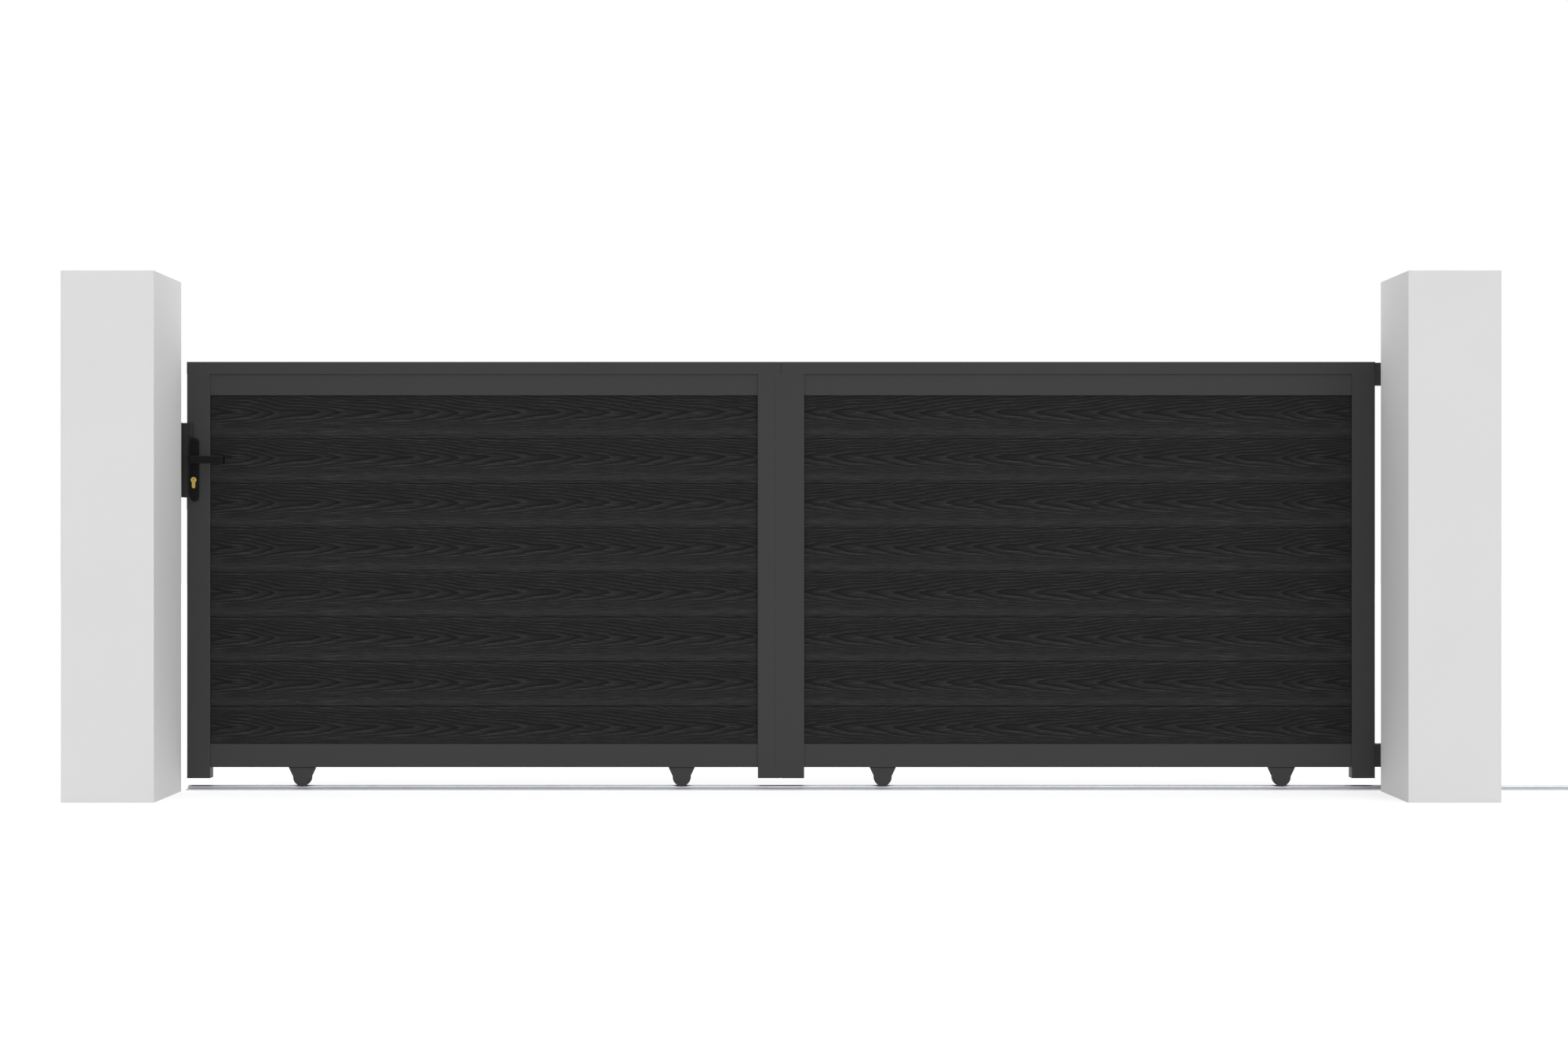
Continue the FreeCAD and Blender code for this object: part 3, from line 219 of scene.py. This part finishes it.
# the arrowheads and fibres on the tone of each height
zones = addNode(tree, "ValToRGB", {0: rise})
setStops(zones, boardGrain["heightTones"])
depth = addNode(tree, "ValToRGB", {0: rise})
setStops(depth, boardGrain["figureDepth"])
figure = addNode(tree, "Math", {0: lines.outputs["Color"], 1: boardGrain["figureLevel"]},
                 operation="SUBTRACT").outputs[0]
figure = addNode(tree, "Math", {0: figure, 1: depth.outputs["Color"]}, operation="MULTIPLY").outputs[0]
tone = addNode(tree, "Math", {0: figure, 1: boardGrain["figureShare"], 2: zones.outputs["Color"]},
               operation="MULTIPLY_ADD").outputs[0]
streak = addNode(tree, "Math", {0: fibres, 1: 0.5}, operation="SUBTRACT").outputs[0]
tone = addNode(tree, "Math", {0: streak, 1: boardGrain["fibreShare"], 2: tone},
               operation="MULTIPLY_ADD", use_clamp=True).outputs[0]
tint = addNode(tree, "ValToRGB", {0: tone})
setStops(tint, [(0.0, hexColor(boardGrain["dark"])), (0.5, hexColor(boardGrain["mid"])),
                (1.0, hexColor(boardGrain["light"]))])
tree.links.new(tint.outputs["Color"], surface.inputs["Base Color"])
dressSurface(tree, surface, boardGrain, gloss=tone, height=tone)
finishes["wood_grain_boards"] = material

# Hot-dip galvanised steel: pale grey zinc with a soft spangle of crystals, some brighter than others.
zincCoat = {
    "surface": {"Metallic": 1.0},
    "colors": ("#bec0c4", "#c7c9cc"), "roughness": (0.47, 0.41), "relief": 0.05, "rise": 0.1 * millimetre,
    "crystal": 14 * millimetre, "crystalShare": 0.55, "stain": 160 * millimetre,
}
material, tree, surface, place = newMaterial("galvanisedSteel", zincCoat)
crystals = addNode(tree, "TexVoronoi", {"Vector": place, "Scale": 1 / zincCoat["crystal"]})
grey = addNode(tree, "SeparateColor", {0: crystals.outputs["Color"]}).outputs[0]
stain = addNode(tree, "TexNoise", {"Vector": place, "Scale": 1 / zincCoat["stain"],
                                   "Detail": 4.0}).outputs["Fac"]
share = addNode(tree, "Math", {0: grey, 1: zincCoat["crystalShare"], 2: stain},
                operation="MULTIPLY_ADD").outputs[0]
share = addNode(tree, "MapRange", {"Value": share, "From Min": 0.3, "From Max": 1.2}).outputs["Result"]
dressSurface(tree, surface, zincCoat, tone=share, gloss=share, height=grey)
finishes["galvanised_steel"] = material

# Black lacquered zinc die-casting: deep satin black, slightly orange-peeled, a little greyer where
# hands rub it. The keeper on the pillar has the same lacquer, faded to charcoal.
blackLacquer = {
    "surface": {"Specular IOR Level": 0.15}, "roughness": (0.46, 0.34), "rub": 40 * millimetre,
    "peel": 4 * millimetre, "relief": 0.1, "rise": 0.2 * millimetre,
    "black_hardware": ("blackLacquer", ("#070707", "#0e0e0e")),
    "keeper": ("fadedLacquer", ("#2c2c2c", "#343434")),
}
for use in ("black_hardware", "keeper"):
    name, colors = blackLacquer[use]
    material, tree, surface, place = newMaterial(name, blackLacquer)
    rub = addNode(tree, "TexNoise", {"Vector": place, "Scale": 1 / blackLacquer["rub"],
                                     "Detail": 3.0}).outputs["Fac"]
    peel = addNode(tree, "TexNoise", {"Vector": place, "Scale": 1 / blackLacquer["peel"],
                                      "Detail": 1.0}).outputs["Fac"]
    dressSurface(tree, surface, {**blackLacquer, "colors": colors}, tone=rub, gloss=rub, height=peel)
    finishes[use] = material

# Moulded rubber: near-black, dull, with a bloom of paler dust.
rubberLook = {"surface": {"Specular IOR Level": 0.3},
              "colors": ("#161616", "#2a2a29"), "roughness": (0.7, 0.9), "dust": 12 * millimetre}
material, tree, surface, place = newMaterial("mouldedRubber", rubberLook)
dust = addNode(tree, "TexNoise", {"Vector": place, "Scale": 1 / rubberLook["dust"],
                                  "Detail": 5.0}).outputs["Fac"]
dressSurface(tree, surface, rubberLook, tone=dust, gloss=dust)
finishes["black_rubber"] = material

# Cast black nylon: dull and waxy, lightly greyed where it runs on the leaf.
nylonLook = {"surface": {"Specular IOR Level": 0.45},
             "colors": ("#232323", "#3a3a39"), "roughness": (0.38, 0.55),
             "marks": 9 * millimetre, "upright": (1.0, 1.0, 0.2)}
material, tree, surface, place = newMaterial("castNylon", nylonLook)
stretch = addNode(tree, "Mapping", {"Vector": place, "Scale": nylonLook["upright"]}).outputs[0]
marks = addNode(tree, "TexNoise", {"Vector": stretch, "Scale": 1 / nylonLook["marks"],
                                   "Detail": 4.0}).outputs["Fac"]
worn = addNode(tree, "MapRange", {"Value": marks, "From Min": 0.5, "From Max": 0.75}).outputs["Result"]
dressSurface(tree, surface, nylonLook, tone=worn, gloss=worn)
finishes["nylon"] = material

# Injection-moulded plastic plugs: black with a fine spark-eroded texture.
plugLook = {"surface": {"Specular IOR Level": 0.4},
            "colors": ("#141414", "#202020"), "roughness": (0.5, 0.68),
            "spark": 2 * millimetre, "relief": 0.2, "rise": 0.1 * millimetre}
material, tree, surface, place = newMaterial("mouldedPlastic", plugLook)
spark = addNode(tree, "TexNoise", {"Vector": place, "Scale": 1 / plugLook["spark"],
                                   "Detail": 3.0}).outputs["Fac"]
dressSurface(tree, surface, plugLook, tone=spark, gloss=spark, height=spark)
finishes["black_plug"] = material

# Bright zinc-plated steel: cool and clear, with fine drawn lines.
brightLook = {"surface": {"Metallic": 1.0},
              "colors": ("#aeb0b4", "#d4d5d8"), "roughness": (0.4, 0.24),
              "line": 1.6 * millimetre, "upright": (1.0, 1.0, 0.06)}
material, tree, surface, place = newMaterial("brightZincSteel", brightLook)
stretch = addNode(tree, "Mapping", {"Vector": place, "Scale": brightLook["upright"]}).outputs[0]
drawn = addNode(tree, "TexNoise", {"Vector": stretch, "Scale": 1 / brightLook["line"],
                                   "Detail": 3.0}).outputs["Fac"]
dressSurface(tree, surface, brightLook, tone=drawn, gloss=drawn)
finishes["bright_steel"] = material

# Machined brass: warm yellow, with faint tarnish.
brassLook = {"surface": {"Metallic": 1.0},
             "colors": ("#f0cf7a", "#d9b460"), "roughness": (0.24, 0.42), "tarnish": 9 * millimetre}
material, tree, surface, place = newMaterial("machinedBrass", brassLook)
tarnish = addNode(tree, "TexNoise", {"Vector": place, "Scale": 1 / brassLook["tarnish"],
                                     "Detail": 4.0}).outputs["Fac"]
dressSurface(tree, surface, brassLook, tone=tarnish, gloss=tarnish)
finishes["brass"] = material

# Turned and blackened wheel steel: near-black with fine rings round each axle,
# so each wheel has its own centre.
wheelLook = {"surface": {"Metallic": 1.0},
             "colors": ("#343537", "#515254"), "roughness": (0.5, 0.32),
             "ring": 1.8 * millimetre, "count": 4}         # 0.2 mm feed, drawn coarser
wheelFinishes = {}
for number in range(1, wheelLook["count"] + 1):
    low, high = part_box(f"wheel_{number}")
    middle = (low + high) / 2
    material, tree, surface, place = newMaterial(f"blackenedWheelSteel{number}", wheelLook)
    centred = addNode(tree, "VectorMath", {0: place, 1: middle}, operation="SUBTRACT").outputs[0]
    axes = addNode(tree, "SeparateXYZ", {0: centred}).outputs
    square = addNode(tree, "Math", {0: axes["Z"], 1: axes["Z"]}, operation="MULTIPLY").outputs[0]
    square = addNode(tree, "Math", {0: axes["X"], 1: axes["X"], 2: square},
                     operation="MULTIPLY_ADD").outputs[0]
    radius = addNode(tree, "Math", {0: square}, operation="SQRT").outputs[0]
    turns = addNode(tree, "Math", {0: radius, 1: axes["Y"]}, operation="ADD").outputs[0]
    turns = addNode(tree, "Math", {0: turns, 1: 1 / wheelLook["ring"]}, operation="MULTIPLY").outputs[0]
    marks = addNode(tree, "TexNoise", {"W": turns, "Scale": 1.0, "Detail": 2.0},
                    noise_dimensions="1D").outputs["Fac"]
    dressSurface(tree, surface, wheelLook, tone=marks, gloss=marks)
    wheelFinishes[f"wheel_{number}"] = material
print("materials made:", len(bpy.data.materials))

for name, node in nodes.items():
    finish = wheelFinishes.get(name) or finishes[nodeSlots[name]]
    node.data.materials.clear()
    node.data.materials.append(finish)
nodes["keeper"].data.materials[0] = finishes["keeper"]
nodes["guide_pins"].data.materials[0] = finishes["bright_steel"]
nodes["wheel_axles"].data.materials[0] = finishes["grey_carrier"]        # painted over with their carriers
print("CAD nodes dressed")


def placePiece(name, shape, body, slot, *materials):
    mesh = bpy.data.meshes.new(name)
    shape.to_mesh(mesh)
    shape.free()
    piece = bpy.data.objects.new(name, mesh)
    bpy.context.scene.collection.objects.link(piece)
    for finish in materials:
        mesh.materials.append(finish)
    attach(piece, body)


def headForm(look):
    # one fastener head standing on the origin towards +Z: rim bevelled, drive sunk into its top
    shape = bmesh.new()
    foot = look.get("washerHeight", 0)
    if foot:
        bmesh.ops.create_cone(shape, cap_ends=True, segments=look["washerSides"], radius1=look["washer"],
                              radius2=look["washer"] * look["washerTaper"], depth=foot,
                              matrix=Matrix.Translation((0, 0, foot / 2)))
    made = bmesh.ops.create_cone(shape, cap_ends=True, segments=look["sides"], radius1=look["radius"],
                                 radius2=look["radius"] * look["taper"], depth=look["height"],
                                 matrix=Matrix.Translation((0, 0, foot + look["height"] / 2)))
    headFaces = (face for vert in made["verts"] for face in vert.link_faces)
    top = max(headFaces, key=lambda face: face.calc_center_median().z)
    bmesh.ops.bevel(shape, geom=list(top.edges), offset=look["edge"], segments=2, profile=0.5,
                    affect="EDGES", material=-1)
    top = max(shape.faces, key=lambda face: (round(face.calc_center_median().z, 7), face.calc_area()))
    if "drive" in look:
        rim = look["radius"] * look["taper"] - look["edge"] - look["drive"]
        bmesh.ops.inset_region(shape, faces=[top], thickness=rim)
        sunk = bmesh.ops.extrude_discrete_faces(shape, faces=[top])["faces"]
        bmesh.ops.translate(shape, vec=(0, 0, -look["driveDepth"]), verts=list(sunk[0].verts))
    mesh = bpy.data.meshes.new("headForm")
    shape.to_mesh(mesh)
    shape.free()
    return mesh


def turnTo(point, facing):
    # stands what was made towards +Z at a point, facing a direction
    return Matrix.Translation(point) @ facing.to_track_quat("Z", "Y").to_matrix().to_4x4()


def setHeads(name, look, places, body, slot):
    # the same head at each place: a point and the direction it faces
    form = headForm(look)
    shape = bmesh.new()
    for point, facing in places:
        before = len(shape.verts)
        shape.from_mesh(form)
        shape.verts.ensure_lookup_table()
        bmesh.ops.transform(shape, matrix=turnTo(point, facing), verts=shape.verts[before:])
    bpy.data.meshes.remove(form)
    placePiece(name, shape, body, slot, finishes[slot])


streetWard = Vector((0, -1, 0))
homeWard = Vector((0, 1, 0))
pillarWard = Vector((-1, 0, 0))
upWard = Vector((0, 0, 1))

# screws of the lock's backplates
plateScrews = {"radius": 0.0036, "height": 0.0008, "taper": 0.9, "edge": 0.0002, "sides": 24,
               "drive": 0.0019, "driveDepth": 0.0007, "fromEnd": 0.012}
places = []
for plate, facing in (("outer_backplate", streetWard), ("inner_backplate", homeWard)):
    low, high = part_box(plate)
    depth = low.y if facing is streetWard else high.y
    for z in (low.z + plateScrews["fromEnd"], high.z - plateScrews["fromEnd"]):
        places.append((Vector(((low.x + high.x) / 2, depth, z)), facing))
setHeads("backplate_screws", plateScrews, places, "leaf", "black_hardware")

# anchor screws of both rails, in the rail's holes
railScrews = {"radius": 0.0056, "height": 0.0016, "taper": 0.72, "edge": 0.0003, "sides": 24,
              "drive": 0.0024, "driveDepth": 0.0011, "flange": 0.003, "rows": (0.178, 0.216), "count": 6,
              "ground_rail": (0.348, 0.640), "run_back_rail": (3.866, 0.560)}      # first hole, spacing
places = []
for rail in ("ground_rail", "run_back_rail"):
    start, step = railScrews[rail]
    for number in range(railScrews["count"]):
        for y in railScrews["rows"]:
            places.append((Vector((start + number * step, y, railScrews["flange"])), upWard))
setHeads("rail_anchor_screws", railScrews, places, "ground_works", "galvanised_steel")

# bolts of the top guide's bracket
guideBolts = {"radius": 0.0098, "height": 0.0064, "taper": 0.96, "edge": 0.0006, "sides": 6,
              "washer": 0.0125, "washerHeight": 0.002, "washerTaper": 0.97, "washerSides": 28,
              "aside": 0.036, "rows": (0.048, 0.096), "flange": 0.006}
low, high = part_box("guide_bracket")
places = []
for aside in (-guideBolts["aside"], guideBolts["aside"]):
    for row in guideBolts["rows"]:
        point = Vector(((low.x + high.x) / 2 + aside, low.y + guideBolts["flange"], low.z + row))
        places.append((point, homeWard))
setHeads("guide_bracket_bolts", guideBolts, places, "ground_works", "galvanised_steel")

# screws of the keeper's flange
keeperScrews = {"radius": 0.0055, "height": 0.003, "taper": 0.8, "edge": 0.0006, "sides": 24,
                "drive": 0.0026, "driveDepth": 0.0016, "flange": 0.004, "fromEdge": 0.022, "fromEnd": 0.026}
low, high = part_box("keeper")
places = []
for z in (low.z + keeperScrews["fromEnd"], (low.z + high.z) / 2, high.z - keeperScrews["fromEnd"]):
    places.append((Vector((low.x + keeperScrews["fromEdge"], low.y + keeperScrews["flange"], z)), homeWard))
setHeads("keeper_screws", keeperScrews, places, "ground_works", "black_hardware")

# countersunk screws of the lock's faceplate
faceScrews = {"radius": 0.0042, "height": 0.0004, "taper": 0.92, "edge": 0.0001, "sides": 24,
              "drive": 0.0019, "driveDepth": 0.0003, "fromEnd": 0.011}
low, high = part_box("lock_faceplate")
places = []
for z in (low.z + faceScrews["fromEnd"], high.z - faceScrews["fromEnd"]):
    places.append((Vector((low.x, (low.y + high.y) / 2, z)), pillarWard))
setHeads("faceplate_screws", faceScrews, places, "leaf", "bright_steel")
print("fasteners set")

# turning plugs of the lock cylinder, with their keyways
cylinderPlug = {"radius": 0.0066, "stand": 0.0005, "keyway": (0.0010, 0.0026), "keywayRise": 0.0022,
                "keywayDepth": 0.00045, "fromTop": 0.0085, "sides": 32}
low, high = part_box("lock_cylinder")
shape = bmesh.new()
for depth, facing in ((low.y, streetWard), (high.y, homeWard)):
    before = len(shape.verts)
    rim = bmesh.ops.create_circle(shape, segments=cylinderPlug["sides"],
                                  radius=cylinderPlug["radius"])["verts"]
    keyway = bmesh.ops.create_circle(shape, segments=cylinderPlug["sides"], radius=1.0)["verts"]
    bmesh.ops.scale(shape, vec=(*cylinderPlug["keyway"], 1.0), verts=keyway)
    bmesh.ops.translate(shape, vec=(0, cylinderPlug["keywayRise"], 0), verts=keyway)
    loops = [list({edge for vert in loop for edge in vert.link_edges}) for loop in (rim, keyway)]
    bmesh.ops.bridge_loops(shape, edges=loops[0] + loops[1])
    # each loop goes down and is closed: the rim onto the cylinder, the shallow keyway onto a black floor
    # that is painted shade standing in for a deep keyway
    for loop, drop, finish in ((loops[0], "stand", 0), (loops[1], "keywayDepth", 1)):
        wall = bmesh.ops.extrude_edge_only(shape, edges=loop)["geom"]
        foot = [item for item in wall if isinstance(item, bmesh.types.BMVert)]
        bmesh.ops.translate(shape, vec=(0, 0, -cylinderPlug[drop]), verts=foot)
        for face in bmesh.ops.contextual_create(shape, geom=foot)["faces"]:
            face.material_index = finish
    shape.verts.ensure_lookup_table()
    point = Vector(((low.x + high.x) / 2, depth, high.z - cylinderPlug["fromTop"]))
    point += facing * cylinderPlug["stand"]
    bmesh.ops.transform(shape, matrix=turnTo(point, facing), verts=shape.verts[before:])
bmesh.ops.recalc_face_normals(shape, faces=list(shape.faces))
# the black lacquer, the second material, is the keyway floors' painted shade
placePiece("lock_cylinder_plugs", shape, "leaf", "brass", finishes["brass"], finishes["black_hardware"])
print("lock dressed")

# floor, light and camera
studio = {
    "floorSize": 60.0, "floorPatch": 2.5, "rim": 0.16,
    "overhead": 1.9, "overheadFrom": (0, 0, 1), "overheadFocus": 4.0,
    "frontal": 1.5, "frontalFrom": (0.28, -0.68, 0.68), "frontalFocus": 6.0, "rear": 0.7, "side": 0.5,
    "cameraAt": (1.875, -6.215, 0.732), "sensor": 36.0, "lens": 50.0, "shift": (0.003, 0.012),
}
white = (1, 1, 1, 1)
# pale studio floor that glows a little, as a lit table does, so shadows on it stay soft
floorLook = {"surface": {"Roughness": 0.9, "Specular IOR Level": 0.1,
                         "Emission Color": white, "Emission Strength": 0.55},
             "colors": ("#bebebe", "#c1c1c1")}
material, tree, surface, place = newMaterial("paleStudioFloor", floorLook)
patch = addNode(tree, "TexNoise", {"Vector": place, "Scale": 1 / studio["floorPatch"],
                                   "Detail": 2.0}).outputs["Fac"]
dressSurface(tree, surface, floorLook, tone=patch)
shape = bmesh.new()
bmesh.ops.create_grid(shape, x_segments=2, y_segments=2, size=studio["floorSize"] / 2)
mesh = bpy.data.meshes.new("studioFloor")
shape.to_mesh(mesh)
shape.free()
mesh.materials.append(material)
floor = bpy.data.objects.new("studioFloor", mesh)
bpy.context.scene.collection.objects.link(floor)

# soft dome: bright overhead, a broad light high in front, weaker ones behind and at both sides;
# the camera itself sees plain white
world = bpy.data.worlds.new("studioDome")
world.use_nodes = True
tree = world.node_tree
way = addNode(tree, "TexCoord").outputs["Generated"]
axes = addNode(tree, "SeparateXYZ", {0: way}).outputs
lobes = {}
for lobe in ("overhead", "frontal"):
    aim = addNode(tree, "VectorMath", {0: way, 1: studio[lobe + "From"]},
                  operation="DOT_PRODUCT").outputs["Value"]
    aim = addNode(tree, "Math", {0: aim, 1: 0.0}, operation="MAXIMUM").outputs[0]
    lobes[lobe] = addNode(tree, "Math", {0: aim, 1: studio[lobe + "Focus"]}, operation="POWER").outputs[0]
lobes["rear"] = addNode(tree, "Math", {0: axes["Y"], 1: 0.0}, operation="MAXIMUM").outputs[0]
lobes["side"] = addNode(tree, "Math", {0: axes["X"], 1: axes["X"]}, operation="MULTIPLY").outputs[0]
light = studio["rim"]
for lobe, strength in lobes.items():
    light = addNode(tree, "Math", {0: strength, 1: studio[lobe], 2: light},
                    operation="MULTIPLY_ADD").outputs[0]
dome = tree.nodes["Background"]
dome.inputs["Color"].default_value = white
tree.links.new(light, dome.inputs["Strength"])
backdrop = addNode(tree, "Background", {"Color": white, "Strength": 1.0})
seen = addNode(tree, "LightPath").outputs["Is Camera Ray"]
both = addNode(tree, "MixShader", {0: seen, 1: dome.outputs[0], 2: backdrop.outputs[0]})
tree.links.new(both.outputs[0], tree.nodes["World Output"].inputs["Surface"])
bpy.context.scene.world = world

lensBody = bpy.data.cameras.new("photoCamera")
lensBody.lens = studio["lens"]
lensBody.sensor_width = studio["sensor"]
lensBody.shift_x, lensBody.shift_y = studio["shift"]
camera = bpy.data.objects.new("photoCamera", lensBody)
camera.location = studio["cameraAt"]
camera.rotation_euler = (math.radians(90), 0, 0)           # level, looking straight at the leaf
bpy.context.scene.collection.objects.link(camera)
bpy.context.scene.camera = camera
bpy.context.scene.view_settings.view_transform = "Standard"
print("studio ready")
